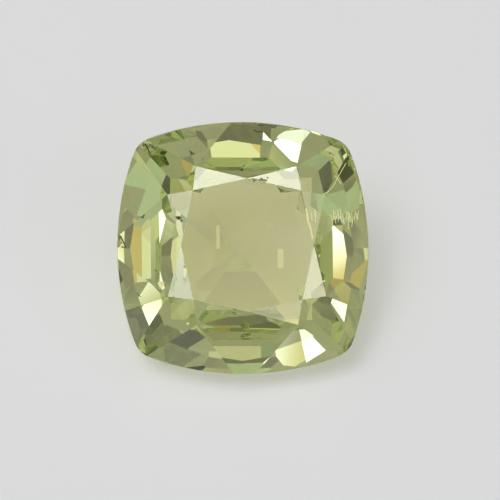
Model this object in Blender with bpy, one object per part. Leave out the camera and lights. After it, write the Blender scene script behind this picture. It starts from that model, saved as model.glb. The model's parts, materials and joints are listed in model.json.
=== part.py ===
"""Cushion cut sapphire: one faceted stone, lying on a facet of its pavilion.

The stone is cut in its own frame, in millimetres: the girdle lies in the XY plane and the table
faces +Z. It is then turned about X, so that one pavilion facet lies flat on the ground, and it is
written in metres, with its origin at the middle of its footprint.
"""

import itertools
import math

import bmesh
import bpy
from mathutils import Matrix, Vector
from mathutils.geometry import intersect_line_plane, intersect_plane_plane

NAME = "sapphire"
MILLIMETRE = 0.001

# The outline of the girdle: four long side arcs and four short corner arcs
WIDTH = 6.00
SIDE_RADIUS = 6.55
CORNER_RADIUS = 0.60
OUTLINE_STEPS = 128

# Heights along the axis of the stone
CROWN_HEIGHT = 0.86
GIRDLE_THICKNESS = 0.19
PAVILION_DEPTH = 2.11
BELT_HEIGHT = 0.13
STEP_DEPTH = 0.56
CULET_WIDTH = 0.05
PREFORM_MARGIN = 1.0
SNAP_DISTANCE = 0.0001

# Tilts of the facets away from the plane of the girdle, in degrees
SIDE_BEZEL_TILT = 31.0
CORNER_BEZEL_TILT = 27.3
STAR_TILT = 18.2
BELT_TILT = 61.5
LOWER_GIRDLE_TILTS = (42.0, 50.0, 39.3)
STEP_TILT = 38.8
SIDE_MAIN_TILT = 29.2
CORNER_MAIN_TILT = 24.7

# Azimuths of the facet junctions, in degrees from the middle of a side to a corner
CORNER_AZIMUTH = 45.0
BEZEL_FOOT = 6.0
UPPER_GIRDLE_SPLIT = 27.9
LOWER_GIRDLE_SPLITS = (0.0, 6.5, 27.8, 45.0)

# Chips in the girdle: the azimuth of the middle, then the length, the depth and the height
CHIPS = {
    "left_chip": (176.7, 0.39, 0.13, 0.21),
    "back_chip": (82.3, 0.26, 0.10, 0.15),
}
CHIP_SLANT = 25.0

GIRDLE_TOP = GIRDLE_THICKNESS / 2
GIRDLE_BOTTOM = -GIRDLE_THICKNESS / 2
TABLE_HEIGHT = GIRDLE_TOP + CROWN_HEIGHT
CULET_POINT = Vector((0, 0, GIRDLE_BOTTOM - PAVILION_DEPTH))
UP = Vector((0, 0, 1))
DOWN = -UP

STONE_COLOUR = (0.62, 0.64, 0.32, 1.0)
STONE_ROUGHNESS = 0.02
SAPPHIRE_IOR = 1.768


def clear_scene():
    for item in list(bpy.data.objects):
        bpy.data.objects.remove(item)


def new_collection(name):
    collection = bpy.data.collections.new(name)
    bpy.context.scene.collection.children.link(collection)
    return collection


def heading(azimuth):
    """The horizontal unit vector at this azimuth, in degrees from +X."""
    angle = math.radians(azimuth)
    return Vector((math.cos(angle), math.sin(angle), 0))


def far_crossing(centre, radius, direction):
    """How far from the axis a ray in this direction leaves a circle."""
    along = centre.dot(direction)
    return along + math.sqrt(along**2 - centre.length_squared + radius**2)


def outline_radius(azimuth):
    """Distance from the axis to the girdle, from the arc that holds this azimuth."""
    from_side = abs((azimuth + CORNER_AZIMUTH) % (2 * CORNER_AZIMUTH) - CORNER_AZIMUTH)
    ray = heading(from_side)
    side_centre = Vector((WIDTH / 2 - SIDE_RADIUS, 0, 0))

    # The corner arc touches the side arc from inside, so their centres are this far apart.
    gap = SIDE_RADIUS - CORNER_RADIUS
    offset = side_centre.x
    diagonal = (offset + math.sqrt(2 * gap**2 - offset**2)) / 2
    corner_centre = Vector((diagonal, diagonal, 0))

    touch = side_centre + (corner_centre - side_centre).normalized() * SIDE_RADIUS
    if from_side <= math.degrees(math.atan2(touch.y, touch.x)):
        return far_crossing(side_centre, SIDE_RADIUS, ray)
    return far_crossing(corner_centre, CORNER_RADIUS, ray)


def girdle_point(azimuth, height, inset=0.0):
    return heading(azimuth) * (outline_radius(azimuth) - inset) + UP * height


def tilted(azimuth, tilt, axis):
    """The normal of a facet that faces this azimuth, tilted away from the axis given."""
    angle = math.radians(tilt)
    return heading(azimuth) * math.sin(angle) + axis * math.cos(angle)


def plane_on_edge(start, end, tilt, axis):
    """The plane through a level edge that slopes outwards and down from it by the tilt."""
    along = (end - start).normalized()
    outward = along.cross(UP)
    if outward.dot(start) < 0:
        outward.negate()
    angle = math.radians(tilt)
    return start, outward * math.sin(angle) + axis * math.cos(angle)


def plane_on_points(first, second, third, axis):
    normal = (second - first).cross(third - first).normalized()
    if normal.dot(axis) < 0:
        normal.negate()
    return first, normal


def meeting_point(one, two, three):
    """The point that three planes share."""
    point, direction = intersect_plane_plane(*one, *two)
    return intersect_line_plane(point, point + direction, *three)


def sides_and_corners():
    """The middle of each side with each of its two corners, as azimuths."""
    for quarter in range(4):
        side = quarter * 2 * CORNER_AZIMUTH
        for turn in (-1, 1):
            yield side, turn


def side_bezel(side):
    return girdle_point(side, GIRDLE_TOP), tilted(side, SIDE_BEZEL_TILT, UP)


def corner_bezel(corner):
    return girdle_point(corner, GIRDLE_TOP), tilted(corner, CORNER_BEZEL_TILT, UP)


def table_corner(azimuth, bezel):
    """Where the table's rim crosses the middle of a bezel facet."""
    centre = UP * TABLE_HEIGHT
    return intersect_line_plane(centre, centre + heading(azimuth), *bezel)


def crown_planes():
    """The table, then star facets, and bezels with a broad foot between upper girdle facets."""
    planes = [(UP * TABLE_HEIGHT, UP)]
    for side, turn in sides_and_corners():
        corner = side + turn * CORNER_AZIMUTH
        bezels = side_bezel(side), corner_bezel(corner)
        rim = table_corner(side, bezels[0]), table_corner(corner, bezels[1])
        star = plane_on_edge(*rim, STAR_TILT, UP)
        apex = meeting_point(*bezels, star)
        split = girdle_point(side + turn * UPPER_GIRDLE_SPLIT, GIRDLE_TOP)
        planes += [*bezels, star]
        for foot in (side + turn * BEZEL_FOOT, corner - turn * BEZEL_FOOT):
            planes.append(plane_on_points(apex, girdle_point(foot, GIRDLE_TOP), split, UP))
    return planes


def side_step(side, belt_inset):
    """The step facet below the middle of a side, between its lower girdle facet and its main."""
    fall = STEP_DEPTH - BELT_HEIGHT
    inset = belt_inset + fall / math.tan(math.radians(LOWER_GIRDLE_TILTS[0]))
    top = girdle_point(side, GIRDLE_BOTTOM - STEP_DEPTH, inset)
    return top, tilted(side, STEP_TILT, DOWN)


def pavilion_planes():
    """A belt below the girdle, lower girdle facets, four steps, eight mains and a small culet."""
    planes = []
    belt_inset = BELT_HEIGHT / math.tan(math.radians(BELT_TILT))
    belt_bottom = GIRDLE_BOTTOM - BELT_HEIGHT
    stretches = zip(LOWER_GIRDLE_SPLITS, LOWER_GIRDLE_SPLITS[1:], LOWER_GIRDLE_TILTS)
    for (side, turn), (near, far, tilt) in itertools.product(sides_and_corners(), stretches):
        ends = side + turn * near, side + turn * far
        edge = [girdle_point(end, GIRDLE_BOTTOM) for end in ends]
        planes.append(plane_on_edge(*edge, BELT_TILT, DOWN))
        edge = [girdle_point(end, belt_bottom, belt_inset) for end in ends]
        planes.append(plane_on_edge(*edge, tilt, DOWN))
    for quarter in range(4):
        side = quarter * 2 * CORNER_AZIMUTH
        planes.append(side_step(side, belt_inset))
        planes.append((CULET_POINT, tilted(side, SIDE_MAIN_TILT, DOWN)))
        planes.append((CULET_POINT, tilted(side + CORNER_AZIMUTH, CORNER_MAIN_TILT, DOWN)))
    culet_rise = CULET_WIDTH / 2 * math.tan(math.radians(SIDE_MAIN_TILT))
    planes.append((CULET_POINT + UP * culet_rise, DOWN))
    return planes


def make_preform(stone):
    """A straight prism on the girdle's outline, taller than the stone."""
    top = TABLE_HEIGHT + PREFORM_MARGIN
    bottom = CULET_POINT.z - PREFORM_MARGIN
    bmesh.ops.create_cone(
        stone,
        cap_ends=True,
        segments=OUTLINE_STEPS,
        radius1=1.0,
        radius2=1.0,
        depth=top - bottom,
        matrix=Matrix.Translation(UP * (top + bottom) / 2),
    )
    for vertex in stone.verts:
        azimuth = math.degrees(math.atan2(vertex.co.y, vertex.co.x))
        vertex.co = girdle_point(azimuth, vertex.co.z)


def cut_facet(stone, point, normal):
    """Grinds away all that lies outside a plane, and closes the flat that it leaves."""
    everything = stone.verts[:] + stone.edges[:] + stone.faces[:]
    result = bmesh.ops.bisect_plane(
        stone,
        geom=everything,
        dist=SNAP_DISTANCE,
        plane_co=point,
        plane_no=normal,
        clear_outer=True,
    )
    rim = [item for item in result["geom_cut"] if isinstance(item, bmesh.types.BMEdge)]
    if rim:
        bmesh.ops.contextual_create(stone, geom=rim)


def resting_place(stone):
    """The turn that lays the front pavilion main flat, and the move to the footprint's middle."""
    turn = Matrix.Rotation(math.radians(SIDE_MAIN_TILT), 4, "X")
    turned = [turn @ vertex.co for vertex in stone.verts]
    low = [min(point[axis] for point in turned) for axis in range(3)]
    high = [max(point[axis] for point in turned) for axis in range(3)]
    middle = Vector(((low[0] + high[0]) / 2, (low[1] + high[1]) / 2, low[2]))
    return Matrix.Scale(MILLIMETRE, 4) @ Matrix.Translation(-middle) @ turn


def stone_material():
    material = bpy.data.materials.new(NAME)
    material.use_nodes = True
    shader = material.node_tree.nodes["Principled BSDF"]
    shader.inputs["Base Color"].default_value = STONE_COLOUR
    shader.inputs["Roughness"].default_value = STONE_ROUGHNESS
    shader.inputs["Metallic"].default_value = 0.0
    shader.inputs["IOR"].default_value = SAPPHIRE_IOR
    shader.inputs["Transmission Weight"].default_value = 1.0
    return material


def make_stone(collection):
    stone = bmesh.new()
    make_preform(stone)
    for point, normal in crown_planes() + pavilion_planes():
        cut_facet(stone, point, normal)
    bmesh.ops.recalc_face_normals(stone, faces=stone.faces[:])
    place = resting_place(stone)
    stone.transform(place)
    mesh = bpy.data.meshes.new(NAME)
    stone.to_mesh(mesh)
    stone.free()
    mesh.materials.append(stone_material())
    item = bpy.data.objects.new(NAME, mesh)
    collection.objects.link(item)
    return item, place


def make_chip_cutter(name, azimuth, length, depth, height, place, collection):
    """A squashed ball whose inner side scoops a chip out of the girdle."""
    ball = bmesh.new()
    bmesh.ops.create_icosphere(ball, subdivisions=2, radius=1.0)
    squash = Matrix.Diagonal((depth, length / 2, height / 2, 1.0))
    slant = Matrix.Rotation(math.radians(CHIP_SLANT), 4, "X")
    facing = Matrix.Rotation(math.radians(azimuth), 4, "Z")
    spot = Matrix.Translation(girdle_point(azimuth, 0))
    ball.transform(place @ spot @ facing @ slant @ squash)
    mesh = bpy.data.meshes.new(name)
    ball.to_mesh(mesh)
    ball.free()
    cutter = bpy.data.objects.new(name, mesh)
    cutter.hide_render = True
    cutter.display_type = "WIRE"
    collection.objects.link(cutter)
    return cutter


def chip_girdle(stone, place, collection):
    for name, (azimuth, length, depth, height) in CHIPS.items():
        cutter = make_chip_cutter(name, azimuth, length, depth, height, place, collection)
        chip = stone.modifiers.new(name, "BOOLEAN")
        chip.operation = "DIFFERENCE"
        chip.solver = "EXACT"
        chip.object = cutter


def main():
    clear_scene()
    stone, place = make_stone(new_collection("cushion_cut_sapphire"))
    chip_girdle(stone, place, new_collection("cutters"))


main()
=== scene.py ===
"""The looks of a cushion cut sapphire: its polish, colour, inclusions and wear, on a pale floor."""

import json
import math
import random

import bmesh
import bpy
from mathutils import Matrix, Vector
from mathutils.bvhtree import BVHTree
from mathutils.noise import noise


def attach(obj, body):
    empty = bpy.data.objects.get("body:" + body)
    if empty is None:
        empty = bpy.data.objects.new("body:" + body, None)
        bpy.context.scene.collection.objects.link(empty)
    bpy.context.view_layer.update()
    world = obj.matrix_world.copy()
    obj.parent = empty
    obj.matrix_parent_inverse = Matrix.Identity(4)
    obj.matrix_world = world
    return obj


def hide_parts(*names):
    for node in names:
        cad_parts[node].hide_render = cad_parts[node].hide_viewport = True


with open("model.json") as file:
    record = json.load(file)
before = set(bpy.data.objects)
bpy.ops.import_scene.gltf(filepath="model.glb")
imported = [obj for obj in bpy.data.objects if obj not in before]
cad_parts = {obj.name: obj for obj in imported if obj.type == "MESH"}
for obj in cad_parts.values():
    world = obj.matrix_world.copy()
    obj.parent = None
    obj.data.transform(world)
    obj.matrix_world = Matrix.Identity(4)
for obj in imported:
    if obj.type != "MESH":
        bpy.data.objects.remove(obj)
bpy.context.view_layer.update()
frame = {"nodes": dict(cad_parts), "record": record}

MILLIMETRE = 0.001

# The photograph's frame, and where the middle of the girdle lies in it
PHOTO_SIZE = 500
PIXELS_PER_MM = 42.0
GIRDLE_PIXEL = (243.2, 247.8)

# The stone's own axes: the table faces up, and heights are measured from the girdle's middle
TABLE_MOUNT = next(mount for mount in frame["record"]["mounts"] if mount["name"] == "table")
TABLE_HEIGHT = 0.955 * MILLIMETRE
STONE_UP = Vector(TABLE_MOUNT["axis"]).normalized()
STONE_RIGHT = Vector((1, 0, 0))
STONE_BACK = STONE_UP.cross(STONE_RIGHT)
GIRDLE_CENTRE = Vector(TABLE_MOUNT["pos_m"]) - STONE_UP * TABLE_HEIGHT

# The camera looks nearly straight down on the table, from a little to the left and in front. Its
# lens and sensor are in millimetres, and its far clip in metres.
VIEW_LEAN = (-0.115, -0.07)
LENS = 200.0
SENSOR_WIDTH = 36.0
NEAR_CLIP_SHARE = 0.01
FAR_CLIP = 10.0
LIGHT_BOUNCES = 40

# Optics of sapphire: refraction, and a yellow-green colour that deepens along the light's path
SAPPHIRE_IOR = 1.768
SAPPHIRE_TINT = (1.0, 0.95, 0.60, 1.0)
ABSORPTION_COLOUR = (0.58, 0.72, 0.16, 1.0)
ABSORPTION_DENSITY = 100.0

# Finish of the stone, in millimetres where it is a size
WELD_DISTANCE = 0.0005
FLAT_WITHIN_DEGREES = 0.5
GIRDLE_ROUGHNESS = 0.32
GIRDLE_NORMAL_LIMIT = 0.12

# Wear of the surface: the line that it follows, in pixels of the photograph, the number of pits,
# and the least and the greatest radius of one, in millimetres. The spread off the line is in
# pixels, and a hollow this many millimetres deep counts as a chip.
TABLE_WEAR = ((247.0, 181.0), (268.0, 180.0), 26, (0.018, 0.045))
CORNER_WEAR = ((143.0, 142.0), (155.0, 149.0), 12, (0.02, 0.06))
WEAR_SPREAD = 1.0
WEAR_SEED = 3
GIRDLE_NICKS = 26
GIRDLE_NICK_RADII = (0.012, 0.03)
RIM_REACH = 0.10 * MILLIMETRE
HOLLOW_DEPTH = 0.004
POLISHED, WORN, STAINED = range(3)

# Finish of the broken places: how clear they are, and the colours of the crystal and of its dirt
BREAK_ROUGHNESS = 0.4
WORN_CLEARNESS = 0.5
WORN_PALE = (0.92, 0.96, 0.66, 1.0)
WORN_DARK = (0.34, 0.37, 0.14, 1.0)
STAIN_CLEARNESS = 0.8
STAIN_PALE = (1.0, 0.95, 0.72, 1.0)
STAIN_DARK = (0.80, 0.70, 0.42, 1.0)
DIRT_STOPS = (0.42, 0.58)

# Pits and grains are balls with their points pushed in and out
GRAIN_SUBDIVISIONS = 2
GRAIN_UNEVENNESS = 0.7
GRAIN_LUMPS = 1.3

# Inclusions. Each one is placed by where it is seen in the photograph, in pixels. A grain has its
# size across, along and through, in millimetres, and the others have the points that they join.
DARK_GRAINS = {
    "dark_crystal": ((178.5, 218.0), (0.14, 0.09, 0.08)),
    "dark_crystal_tail": ((181.5, 220.5), (0.07, 0.05, 0.05)),
}
PALE_GRAINS = {
    "pale_crystal": ((161.0, 284.5), (0.15, 0.15, 0.10)),
    "white_grain": ((188.0, 323.5), (0.06, 0.05, 0.05)),
}
DARK_NEEDLES = {
    "brown_hair": ((137.0, 292.5), (138.2, 295.0), (141.0, 297.0)),
}
PALE_NEEDLES = {
    "needle_upper": ((306.2, 208.5), (307.0, 216.0), (308.2, 223.0)),
    "needle_middle": ((308.8, 223.0), (311.2, 230.0), (313.0, 238.5)),
    "needle_side": ((314.8, 209.0), (315.6, 222.0)),
    "needle_short": ((311.5, 213.0), (312.2, 221.0)),
    "corner_hair_long": ((346.0, 163.0), (341.5, 171.0), (337.5, 178.0), (333.5, 186.0), (326.0, 193.0)),
    "corner_hair_short": ((334.5, 175.5), (338.0, 179.0), (341.0, 184.0)),
}

# Brown stain and cracks, which run just under the surface
STAINS = {
    "left_chip_stain": ((120.2, 235.5), (121.5, 238.0), (123.4, 242.0), (125.6, 247.4), (121.5, 246.8)),
    "back_chip_stain": ((253.8, 129.8), (256.5, 131.8), (259.5, 132.0), (262.0, 131.4)),
    "back_chip_rim_stain": ((257.0, 125.2), (260.0, 124.9), (263.5, 125.4)),
    "corner_crack": ((144.8, 143.8), (147.2, 147.6), (149.2, 151.4), (150.2, 154.6)),
    "corner_crack_short": ((151.6, 146.4), (154.0, 148.2), (155.8, 149.8)),
}

# How thick the threads are, and how far below the surface everything lies, in millimetres
NEEDLE_RADIUS = 0.009
STAIN_RADIUS = 0.018
THREAD_ROUNDNESS = 1
INCLUSION_DEPTH = 0.10
SURFACE_DEPTH = 0.005
STAIN_DEPTH = 0.022
VEIL_DEPTH = 0.3

# The fingerprint: its left, top, right and bottom in pixels, the latest start and the least and
# greatest length of a needle as shares of its height, its sway in pixels and its turn in radians
FINGERPRINT_BOX = (331.0, 208.0, 360.0, 232.0)
FINGERPRINT_NEEDLES = 17
FINGERPRINT_START = 0.3
FINGERPRINT_LENGTHS = (0.25, 0.95)
FINGERPRINT_SWAY = 0.7
FINGERPRINT_TURN = 3.5
FINGERPRINT_SEED = 8
NEEDLE_POINTS = 7

# Two milky veils: the two ends and the width of each, in pixels
STREAKS = {
    "left_streak": ((218.0, 225.0), (218.0, 249.0), 3.2),
    "right_streak": ((280.5, 249.0), (280.5, 268.0), 6.0),
}
VEIL_DENSITY = 0.35
# Painted glow of the veils: emission that stands in for the lamplight they scatter
VEIL_PAINTED_GLOW = 0.5

# Minerals and dirt: the lumps of their colour to a metre, and the colours between which it goes
MINERAL_SCALE = 9000.0
MINERAL_STOPS = (0.4, 0.6)
PALE_MINERAL = (0.86, 0.84, 0.56, 1.0)
YELLOW_MINERAL = (0.66, 0.58, 0.24, 1.0)
PALE_MINERAL_ROUGHNESS = 0.5
# Painted glow of the pale grains and needles: emission that stands in for the lamplight they scatter
PALE_MINERAL_PAINTED_GLOW = 0.6
DARK_MINERAL = (0.20, 0.15, 0.06, 1.0)
DARKEST_MINERAL = (0.05, 0.035, 0.012, 1.0)
DARK_MINERAL_ROUGHNESS = 0.4

# The floor, which glows a little as a light table does. Its size is in metres, and the gap below
# the stone in millimetres.
FLOOR_COLOUR = (0.75, 0.75, 0.75, 1.0)
FLOOR_ROUGHNESS = 0.9
FLOOR_GLOW = 0.19
FLOOR_SIZE = 2.0
FLOOR_GAP = 0.02

# The room: plain grey, with bright sheets and lamps and dark cards in it. Each one has an azimuth
# from the stone's right, a tilt from the table's normal and a half-angle, in degrees, a radiance
# and a hue. The room is fitted to the photograph and not known. A least-squares fit gave the
# room's level and the numbers of low_back_card, low_right_card, low_left_sheet and
# wide_front_right_card, and nearly those of lowest_back_card, middle_right_sheet and
# middle_front_card. The others were placed or moved one by one, along traced light paths.
ROOM_RADIANCE = 0.43
BACKDROP_COLOUR = (0.70, 0.70, 0.70, 1.0)
PLAIN = (1.0, 1.0, 1.0)
WARM = (1.06, 1.0, 0.78)
COOL = (0.87, 1.03, 1.05)
OCHRE = (1.25, 1.0, 0.6)
DAYLIGHT = (0.95, 1.0, 1.6)
ROOM_PANELS = {
    "overhead_back_card": (75, 15, 8, 0.22, PLAIN),
    "high_back_card": (85, 33, 6, 0.30, PLAIN),
    "overhead_front_card": (246, 22, 5, 0.15, PLAIN),
    "overhead_front_sheet": (300, 11, 6, 0.70, PLAIN),
    "overhead_left_sheet": (183, 23, 4, 0.42, COOL),
    "second_overhead_left_sheet": (160, 13, 5, 0.60, OCHRE),
    "high_right_sheet": (10, 25, 4, 0.90, PLAIN),
    "overhead_right_card": (351, 10, 3, 0.35, PLAIN),
    "second_overhead_right_card": (10, 13, 3, 0.22, PLAIN),
    "third_overhead_right_card": (45, 13, 4, 0.30, PLAIN),
    "high_front_sheet": (275, 27, 7, 0.62, COOL),
    "middle_front_sheet": (242, 39, 8, 0.65, COOL),
    "high_front_right_sheet": (309, 33, 5, 0.65, COOL),
    "middle_front_right_card": (299, 43, 6, 0.12, PLAIN),
    "low_back_card": (73, 78, 18, 0.18, PLAIN),
    "lowest_back_card": (90, 90, 14, 0.02, PLAIN),
    "middle_back_left_card": (120, 50, 9, 0.15, PLAIN),
    "middle_front_card": (278, 60, 7, 0.12, PLAIN),
    "wide_front_right_card": (330, 54, 12, 0.27, PLAIN),
    "low_right_card": (30, 78, 18, 0.02, PLAIN),
    "middle_right_sheet": (352, 56, 12, 0.86, PLAIN),
    "middle_right_card": (19, 40, 4, 0.10, PLAIN),
    "low_left_sheet": (201, 78, 18, 0.95, PLAIN),
    "cool_left_sheet": (158, 40, 6, 0.50, COOL),
    "ochre_back_sheet": (72, 32, 4, 0.45, OCHRE),
    "ochre_right_sheet": (31, 18, 3, 0.50, OCHRE),
    "back_right_glow": (64, 38.5, 4.0, 0.70, WARM),
    "back_right_lamp": (65, 39, 2.2, 2.0, DAYLIGHT),
    "left_front_glow": (209, 29, 5.0, 0.90, WARM),
    "left_front_lamp": (210, 30, 3.0, 2.2, DAYLIGHT),
    "left_glow": (169, 25, 4.2, 0.90, WARM),
    "left_lamp": (169, 25, 2.8, 2.6, DAYLIGHT),
    "left_back_lamp": (142, 33, 3.5, 1.5, DAYLIGHT),
    "overhead_glow": (100, 4, 4.0, 0.85, OCHRE),
    "overhead_lamp": (95, 5.6, 1.7, 2.6, DAYLIGHT),
    "second_overhead_lamp": (10, 8, 3.0, 1.15, PLAIN),
}
PANEL_SOFTNESS = 0.8

# The stars of the crown: a pixel of the photograph on each, and the radiance of the lamp in it.
# The lamps stand this many metres from the stone.
STARS = {
    "back_left_star": ((214.0, 179.0), 5.0),
    "back_right_star": ((289.0, 182.0), 5.0),
    "right_back_star": ((315.0, 212.0), 0.4),
    "right_front_star": ((311.0, 280.0), 3.5),
    "front_right_star": ((278.0, 312.0), 1.4),
    "left_front_star": ((178.0, 274.0), 3.8),
    "left_back_star": ((179.0, 209.0), 2.0),
}
STAR_BOX_HALF_ANGLE = 1.8
LAMP_DISTANCE = 0.4

# A broad lamp that lights the floor only, and so gives the stone its faint shadow
KEY_DIRECTION = (136, 34)
KEY_HALF_ANGLE = 16.0
KEY_RADIANCE = 2.9


def stone_direction(right, back, up):
    return STONE_RIGHT * right + STONE_BACK * back + STONE_UP * up


VIEW = stone_direction(*VIEW_LEAN, 1.0).normalized()
VIEW_RIGHT = (STONE_RIGHT - VIEW * STONE_RIGHT.dot(VIEW)).normalized()
VIEW_UP = VIEW.cross(VIEW_RIGHT)
CAMERA_DISTANCE = PHOTO_SIZE / PIXELS_PER_MM * MILLIMETRE * LENS / SENSOR_WIDTH
FRAME_MIDDLE = (
    GIRDLE_CENTRE
    + VIEW_RIGHT * (PHOTO_SIZE / 2 - GIRDLE_PIXEL[0]) / PIXELS_PER_MM * MILLIMETRE
    + VIEW_UP * (GIRDLE_PIXEL[1] - PHOTO_SIZE / 2) / PIXELS_PER_MM * MILLIMETRE
)
CAMERA_PLACE = FRAME_MIDDLE + VIEW * CAMERA_DISTANCE


class Nodes:
    """A node tree, with short ways to add and join its nodes."""

    def __init__(self, tree):
        self.tree = tree

    def add(self, kind, settings=None, values=None):
        node = self.tree.nodes.new(kind)
        for name, value in (settings or {}).items():
            setattr(node, name, value)
        for name, value in (values or {}).items():
            if isinstance(value, bpy.types.NodeSocket):
                self.tree.links.new(value, node.inputs[name])
            else:
                node.inputs[name].default_value = value
        return node

    def join(self, output, socket):
        self.tree.links.new(output, socket)

    def math(self, operation, first, second=0.0):
        node = self.add("ShaderNodeMath", {"operation": operation}, {0: first, 1: second})
        return node.outputs[0]

    def dot(self, vector, direction):
        values = {0: vector, 1: direction}
        return self.add("ShaderNodeVectorMath", {"operation": "DOT_PRODUCT"}, values).outputs["Value"]

    def noise(self, vector, scale):
        values = {"Vector": vector, "Scale": scale, "Detail": 0.0}
        return self.add("ShaderNodeTexNoise", None, values).outputs["Fac"]

    def ramp(self, value, stops):
        """Goes from one colour to another, between two stops."""
        node = self.add("ShaderNodeValToRGB", None, {0: value})
        for point, (position, colour) in zip(node.color_ramp.elements, stops):
            point.position = position
            point.color = colour
        return node.outputs["Color"]

    def rise(self, value, low, high):
        """Goes smoothly from 0 to 1 as the value goes from low to high."""
        settings = {"interpolation_type": "SMOOTHSTEP"}
        values = {"Value": value, "From Min": low, "From Max": high}
        return self.add("ShaderNodeMapRange", settings, values).outputs["Result"]

    def blend(self, kind, first, second, amount=1.0):
        settings = {"data_type": "RGBA", "blend_type": kind}
        return self.add("ShaderNodeMix", settings, {0: amount, 6: first, 7: second}).outputs[2]


def grey(level):
    return (level, level, level, 1.0)


def new_material(name):
    """A material's nodes and its Principled shader."""
    material = bpy.data.materials.new(name)
    material.use_nodes = True
    nodes = Nodes(material.node_tree)
    return material, nodes, material.node_tree.nodes["Principled BSDF"]


def refracted(sight, normal):
    """The way that a ray goes on once it has entered the stone."""
    ratio = 1 / SAPPHIRE_IOR
    along = -sight.dot(normal)
    bent = math.sqrt(1 - ratio**2 * (1 - along**2))
    return sight * ratio + normal * (ratio * along - bent)


class PhotoSight:
    """Finds what part of the stone lies at a pixel of the photograph."""

    def __init__(self, mesh):
        self.corners = [vertex.co.copy() for vertex in mesh.vertices]
        faces = [face.vertices for face in mesh.polygons]
        self.tree = BVHTree.FromPolygons(self.corners, faces)

    def surface(self, pixel):
        right = (pixel[0] - GIRDLE_PIXEL[0]) / PIXELS_PER_MM * MILLIMETRE
        up = (GIRDLE_PIXEL[1] - pixel[1]) / PIXELS_PER_MM * MILLIMETRE
        target = GIRDLE_CENTRE + VIEW_RIGHT * right + VIEW_UP * up
        sight = (target - CAMERA_PLACE).normalized()
        spot, normal, face, distance = self.tree.ray_cast(CAMERA_PLACE, sight)
        return spot, normal, sight

    def inside(self, pixel, depth):
        """The point seen at the pixel, this many millimetres below the surface."""
        spot, normal, sight = self.surface(pixel)
        return spot + refracted(sight, normal) * depth * MILLIMETRE


def crystal(name):
    """A see-through material: refraction at the surface, and absorption inside."""
    material, nodes, shader = new_material(name)
    shader.inputs["Transmission Weight"].default_value = 1.0
    shader.inputs["IOR"].default_value = SAPPHIRE_IOR
    shader.inputs["Base Color"].default_value = SAPPHIRE_TINT
    absorption = nodes.add("ShaderNodeVolumeAbsorption")
    absorption.inputs["Color"].default_value = ABSORPTION_COLOUR
    absorption.inputs["Density"].default_value = ABSORPTION_DENSITY
    output = material.node_tree.nodes["Material Output"]
    nodes.join(absorption.outputs[0], output.inputs["Volume"])
    return material, nodes, shader


def sapphire_material():
    """Polished crystal, matt only where the girdle's upright faces are ground."""
    material, nodes, shader = crystal("sapphire")
    normal = nodes.add("ShaderNodeNewGeometry").outputs["True Normal"]
    slope = nodes.math("ABSOLUTE", nodes.dot(normal, STONE_UP))
    girdle = nodes.math("LESS_THAN", slope, GIRDLE_NORMAL_LIMIT)
    nodes.join(nodes.math("MULTIPLY", girdle, GIRDLE_ROUGHNESS), shader.inputs["Roughness"])
    return material


def broken_material(name, clearness, pale, dark):
    """Unpolished crystal in chips and pits, which scatters light, with dirt in its hollows."""
    material, nodes, shader = crystal(name)
    shader.inputs["Transmission Weight"].default_value = clearness
    place = nodes.add("ShaderNodeTexCoord").outputs["Object"]
    dirt = nodes.ramp(nodes.noise(place, MINERAL_SCALE), zip(DIRT_STOPS, (dark, pale)))
    nodes.join(dirt, shader.inputs["Base Color"])
    shader.inputs["Roughness"].default_value = BREAK_ROUGHNESS
    return material


def mineral_with_painted_glow(name, glow):
    """A mineral in the crystal with a painted glow: emission that stands in for the lamplight it
    scatters.
    """
    material, nodes, shader = new_material(name)
    shader.inputs["Emission Color"].default_value = PALE_MINERAL
    shader.inputs["Emission Strength"].default_value = glow
    return material, nodes, shader


def mineral_material(name, pale, dark, roughness, glow=0.0):
    """An opaque grain or needle of another mineral, unevenly coloured, with a painted glow if one is
    given.
    """
    material, nodes, shader = mineral_with_painted_glow(name, glow)
    place = nodes.add("ShaderNodeTexCoord").outputs["Object"]
    colour = nodes.ramp(nodes.noise(place, MINERAL_SCALE), zip(MINERAL_STOPS, (dark, pale)))
    nodes.join(colour, shader.inputs["Base Color"])
    shader.inputs["Roughness"].default_value = roughness
    return material


def veil_material():
    """A faint, milky sheet inside the crystal, with a painted glow that stands in for the lamplight it
    scatters.
    """
    material, nodes, shader = mineral_with_painted_glow("veil", VEIL_PAINTED_GLOW)
    shader.inputs["Base Color"].default_value = PALE_MINERAL
    shader.inputs["Alpha"].default_value = VEIL_DENSITY
    return material


def own_piece(name, data, *materials):
    """A new piece of the sapphire, with the materials that it is given."""
    for material in materials:
        data.materials.append(material)
    piece = bpy.data.objects.new(name, data)
    bpy.context.scene.collection.objects.link(piece)
    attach(piece, "root")
    return piece


def own_inclusion(name, data, material):
    """A piece inside the crystal, seen directly and left out of all reflections."""
    own_piece(name, data, material).visible_glossy = False


def scale_shape(shape, factor):
    bmesh.ops.scale(shape, vec=(factor,) * 3, verts=shape.verts[:])


def mesh_of(name, shape):
    mesh = bpy.data.meshes.new(name)
    shape.to_mesh(mesh)
    shape.free()
    return mesh


def add_grain(shape, centre, radii, seed):
    """Adds an angular grain to a shape: a ball whose points are pushed in and out."""
    made = bmesh.ops.create_icosphere(shape, subdivisions=GRAIN_SUBDIVISIONS, radius=1.0)
    for vertex in made["verts"]:
        push = 1 + GRAIN_UNEVENNESS * noise(vertex.co * GRAIN_LUMPS + Vector((seed, 0, 0)))
        reach = [along * push * radius for along, radius in zip(vertex.co, radii)]
        vertex.co = centre + Vector(reach)


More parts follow.
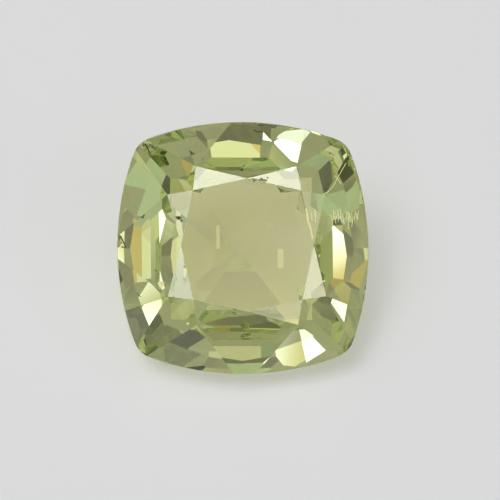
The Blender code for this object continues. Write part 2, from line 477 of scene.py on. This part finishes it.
def faceted_shape(node):
    """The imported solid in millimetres, welded, with one flat face for each facet."""
    shape = bmesh.new()
    shape.from_mesh(node.data)
    scale_shape(shape, 1 / MILLIMETRE)
    bmesh.ops.remove_doubles(shape, verts=shape.verts[:], dist=WELD_DISTANCE)
    bmesh.ops.dissolve_limit(
        shape,
        angle_limit=math.radians(FLAT_WITHIN_DEGREES),
        verts=shape.verts[:],
        edges=shape.edges[:],
    )
    for face in shape.faces:
        face.smooth = False
        level = face.normal.dot(face.verts[0].co) + HOLLOW_DEPTH
        if any(face.normal.dot(vertex.co) > level for vertex in shape.verts):
            face.material_index = STAINED
    return shape


def pit_places(sight):
    """Where the surface is worn, with the radius of each pit, in millimetres."""
    chance = random.Random(WEAR_SEED)
    for start, end, count, radii in (TABLE_WEAR, CORNER_WEAR):
        for number in range(count):
            share = (number + chance.random()) / count
            off_line = Vector((0, chance.gauss(0, WEAR_SPREAD)))
            spot = sight.surface(Vector(start).lerp(Vector(end), share) + off_line)[0]
            yield spot / MILLIMETRE, chance.uniform(*radii)
    rim = [spot for spot in sight.corners if abs((spot - GIRDLE_CENTRE).dot(STONE_UP)) < RIM_REACH]
    for number in range(GIRDLE_NICKS):
        yield chance.choice(rim) / MILLIMETRE, chance.uniform(*GIRDLE_NICK_RADII)


def make_pit_cutter(sight):
    """All the pits and nicks of the surface, as one scratch shape to carve with."""
    shape = bmesh.new()
    for number, (spot, radius) in enumerate(pit_places(sight)):
        add_grain(shape, spot, (radius,) * 3, number)
    for face in shape.faces:
        face.material_index = WORN
    cutter = bpy.data.objects.new("pit_cutter", mesh_of("pit_cutter", shape))
    bpy.context.scene.collection.objects.link(cutter)
    return cutter


def carve_pits(mesh, sight):
    """The stone's mesh with the pits cut out of it, still in millimetres."""
    cutter = make_pit_cutter(sight)
    blank = bpy.data.objects.new("blank", mesh)
    bpy.context.scene.collection.objects.link(blank)
    carving = blank.modifiers.new("pits", "BOOLEAN")
    carving.operation = "DIFFERENCE"
    carving.solver = "EXACT"
    carving.use_self = True
    carving.material_mode = "INDEX"
    carving.object = cutter
    ready = blank.evaluated_get(bpy.context.evaluated_depsgraph_get())
    carved = bmesh.new()
    carved.from_mesh(ready.data)
    bpy.data.objects.remove(blank)
    bpy.data.objects.remove(cutter)
    return carved


def make_stone(node, sight):
    """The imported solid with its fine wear, which is shown in its place."""
    carved = carve_pits(mesh_of("blank", faceted_shape(node)), sight)
    scale_shape(carved, MILLIMETRE)
    stone = own_piece(
        "cut_sapphire",
        mesh_of("cut_sapphire", carved),
        sapphire_material(),
        broken_material("worn_crystal", WORN_CLEARNESS, WORN_PALE, WORN_DARK),
        broken_material("stained_crystal", STAIN_CLEARNESS, STAIN_PALE, STAIN_DARK),
    )
    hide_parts("sapphire")


def add_grain_piece(name, centre, size, material):
    """One grain inside the stone, with its size across, along and through, in millimetres."""
    shape = bmesh.new()
    add_grain(shape, Vector(), [length / 2 for length in size], len(name))
    shape.transform(facing(VIEW, VIEW_UP))
    scale_shape(shape, MILLIMETRE)
    bmesh.ops.translate(shape, vec=centre, verts=shape.verts[:])
    own_inclusion(name, mesh_of(name, shape), material)


def add_needles(name, paths, material, radius=NEEDLE_RADIUS):
    """Fine threads of one mineral, each along its own path."""
    curve = bpy.data.curves.new(name, "CURVE")
    curve.dimensions = "3D"
    curve.bevel_depth = radius * MILLIMETRE
    curve.bevel_resolution = THREAD_ROUNDNESS
    curve.use_fill_caps = True
    for path in paths:
        spline = curve.splines.new("POLY")
        spline.points.add(len(path) - 1)
        for point, place in zip(spline.points, path):
            point.co = (*place, 1)
    own_inclusion(name, curve, material)


def wavering_paths(sight):
    """Upright needles side by side, uneven in length, that waver as a fingerprint does."""
    chance = random.Random(FINGERPRINT_SEED)
    left, top, right, bottom = FINGERPRINT_BOX
    for number in range(FINGERPRINT_NEEDLES):
        across = left + (right - left) * (number + chance.random()) / FINGERPRINT_NEEDLES
        start = top + (bottom - top) * chance.uniform(0, FINGERPRINT_START)
        length = chance.uniform(*FINGERPRINT_LENGTHS) * (bottom - start)
        phase = chance.uniform(0, 2 * math.pi)
        path = []
        for step in range(NEEDLE_POINTS):
            share = step / (NEEDLE_POINTS - 1)
            sway = FINGERPRINT_SWAY * math.sin(phase + share * FINGERPRINT_TURN)
            path.append(sight.inside((across + sway, start + share * length), INCLUSION_DEPTH))
        yield path


def add_streak(name, start, end, width, sight, material):
    """A pale upright veil, as wide as it looks in the photograph."""
    half = Vector((width / 2, 0))
    start = Vector(start)
    end = Vector(end)
    shape = bmesh.new()
    rim = (start - half, start + half, end + half, end - half)
    shape.faces.new([shape.verts.new(sight.inside(pixel, VEIL_DEPTH)) for pixel in rim])
    own_inclusion(name, mesh_of(name, shape), material)


def add_inclusions(sight):
    """Grains, needles, a fingerprint and two faint veils, and the stain round the chips."""
    dark = mineral_material(
        "dark_mineral", DARK_MINERAL, DARKEST_MINERAL, DARK_MINERAL_ROUGHNESS
    )
    pale = mineral_material(
        "pale_mineral", PALE_MINERAL, YELLOW_MINERAL, PALE_MINERAL_ROUGHNESS, PALE_MINERAL_PAINTED_GLOW
    )
    veil = veil_material()
    for name, (pixel, size) in DARK_GRAINS.items():
        add_grain_piece(name, sight.inside(pixel, SURFACE_DEPTH), size, dark)
    for name, (pixel, size) in PALE_GRAINS.items():
        add_grain_piece(name, sight.inside(pixel, INCLUSION_DEPTH), size, pale)
    add_needles("fingerprint", wavering_paths(sight), pale)
    for name, pixels in PALE_NEEDLES.items():
        add_needles(name, [[sight.inside(pixel, INCLUSION_DEPTH) for pixel in pixels]], pale)
    for name, pixels in DARK_NEEDLES.items():
        add_needles(name, [[sight.inside(pixel, INCLUSION_DEPTH) for pixel in pixels]], dark)
    for name, pixels in STAINS.items():
        path = [sight.inside(pixel, STAIN_DEPTH) for pixel in pixels]
        add_needles(name, [path], dark, STAIN_RADIUS)
    for name, (start, end, width) in STREAKS.items():
        add_streak(name, start, end, width, sight, veil)


def make_floor():
    bpy.ops.mesh.primitive_plane_add(size=FLOOR_SIZE, location=(0, 0, -FLOOR_GAP * MILLIMETRE))
    floor = bpy.context.object
    floor.name = "floor"
    material, nodes, shader = new_material("floor")
    shader.inputs["Base Color"].default_value = FLOOR_COLOUR
    shader.inputs["Roughness"].default_value = FLOOR_ROUGHNESS
    shader.inputs["Emission Color"].default_value = grey(1.0)
    shader.inputs["Emission Strength"].default_value = FLOOR_GLOW
    floor.data.materials.append(material)


def room_direction(azimuth, tilt):
    """The way to a part of the room, in the stone's own axes."""
    azimuth = math.radians(azimuth)
    tilt = math.radians(tilt)
    level = math.sin(tilt)
    return stone_direction(level * math.cos(azimuth), level * math.sin(azimuth), math.cos(tilt))


def make_room():
    """Soft light from all round, broken up by sheets, cards and small lamps."""
    world = bpy.data.worlds.new("room")
    bpy.context.scene.world = world
    world.use_nodes = True
    nodes = Nodes(world.node_tree)
    background = world.node_tree.nodes["Background"]
    direction = nodes.add("ShaderNodeTexCoord").outputs["Generated"]
    light = grey(ROOM_RADIANCE)
    for azimuth, tilt, half_angle, radiance, hue in ROOM_PANELS.values():
        nearness = nodes.dot(direction, room_direction(azimuth, tilt))
        rim = math.cos(math.radians(half_angle + PANEL_SOFTNESS))
        full = math.cos(math.radians(half_angle - PANEL_SOFTNESS))
        share = nodes.rise(nearness, rim, full)
        colour = [radiance * channel for channel in hue]
        light = nodes.blend("MIX", light, (*colour, 1.0), share)
    seen = nodes.add("ShaderNodeLightPath").outputs["Is Camera Ray"]
    light = nodes.blend("MIX", light, BACKDROP_COLOUR, seen)
    nodes.join(light, background.inputs["Color"])
    background.inputs["Strength"].default_value = 1.0


def facing(direction, towards):
    """A turn whose local Z is the direction and whose local Y leans towards another one."""
    across = (towards - direction * towards.dot(direction)).normalized()
    return Matrix((across.cross(direction), across, direction)).transposed().to_4x4()


def add_light_box(name, direction, half_angle, radiance):
    """A square lamp of even brightness that faces the stone from this direction."""
    size = 2 * LAMP_DISTANCE * math.tan(math.radians(half_angle))
    lamp = bpy.data.lights.new(name, "AREA")
    lamp.shape = "SQUARE"
    lamp.size = size
    lamp.energy = radiance * math.pi * size**2
    item = bpy.data.objects.new(name, lamp)
    bpy.context.scene.collection.objects.link(item)
    item.matrix_world = Matrix.Translation(
        GIRDLE_CENTRE + direction * LAMP_DISTANCE
    ) @ facing(direction, VIEW)
    item.visible_camera = False
    return item


def light_stars(sight):
    """The stars mirror one lamp each, which is what makes them pale in the photograph."""
    for name, (pixel, radiance) in STARS.items():
        spot, normal, sight_line = sight.surface(pixel)
        mirrored = sight_line - 2 * normal.dot(sight_line) * normal
        add_light_box(name, mirrored, STAR_BOX_HALF_ANGLE, radiance)


def light_floor():
    """The stone holds this lamp's light off the floor, and shows nothing of it."""
    lamp = add_light_box("key_lamp", room_direction(*KEY_DIRECTION), KEY_HALF_ANGLE, KEY_RADIANCE)
    lamp.visible_glossy = False
    lamp.visible_transmission = False


def make_camera():
    camera = bpy.data.cameras.new("camera")
    camera.lens = LENS
    camera.sensor_width = SENSOR_WIDTH
    camera.clip_start = CAMERA_DISTANCE * NEAR_CLIP_SHARE
    camera.clip_end = FAR_CLIP
    item = bpy.data.objects.new("camera", camera)
    bpy.context.scene.collection.objects.link(item)
    item.matrix_world = Matrix.Translation(CAMERA_PLACE) @ facing(VIEW, VIEW_UP)
    bpy.context.scene.camera = item


def set_tracing():
    """Light bounces many times inside a gem before it leaves."""
    scene = bpy.context.scene
    scene.cycles.max_bounces = LIGHT_BOUNCES
    scene.cycles.transmission_bounces = LIGHT_BOUNCES
    scene.cycles.glossy_bounces = LIGHT_BOUNCES
    scene.cycles.use_denoising = True
    scene.cycles.blur_glossy = 0.0
    scene.cycles.sample_clamp_indirect = 0.0
    scene.view_settings.view_transform = "Standard"


sapphire = frame["nodes"]["sapphire"]
photo_sight = PhotoSight(sapphire.data)
make_camera()
make_stone(sapphire, photo_sight)
add_inclusions(photo_sight)
make_floor()
make_room()
light_stars(photo_sight)
light_floor()
set_tracing()
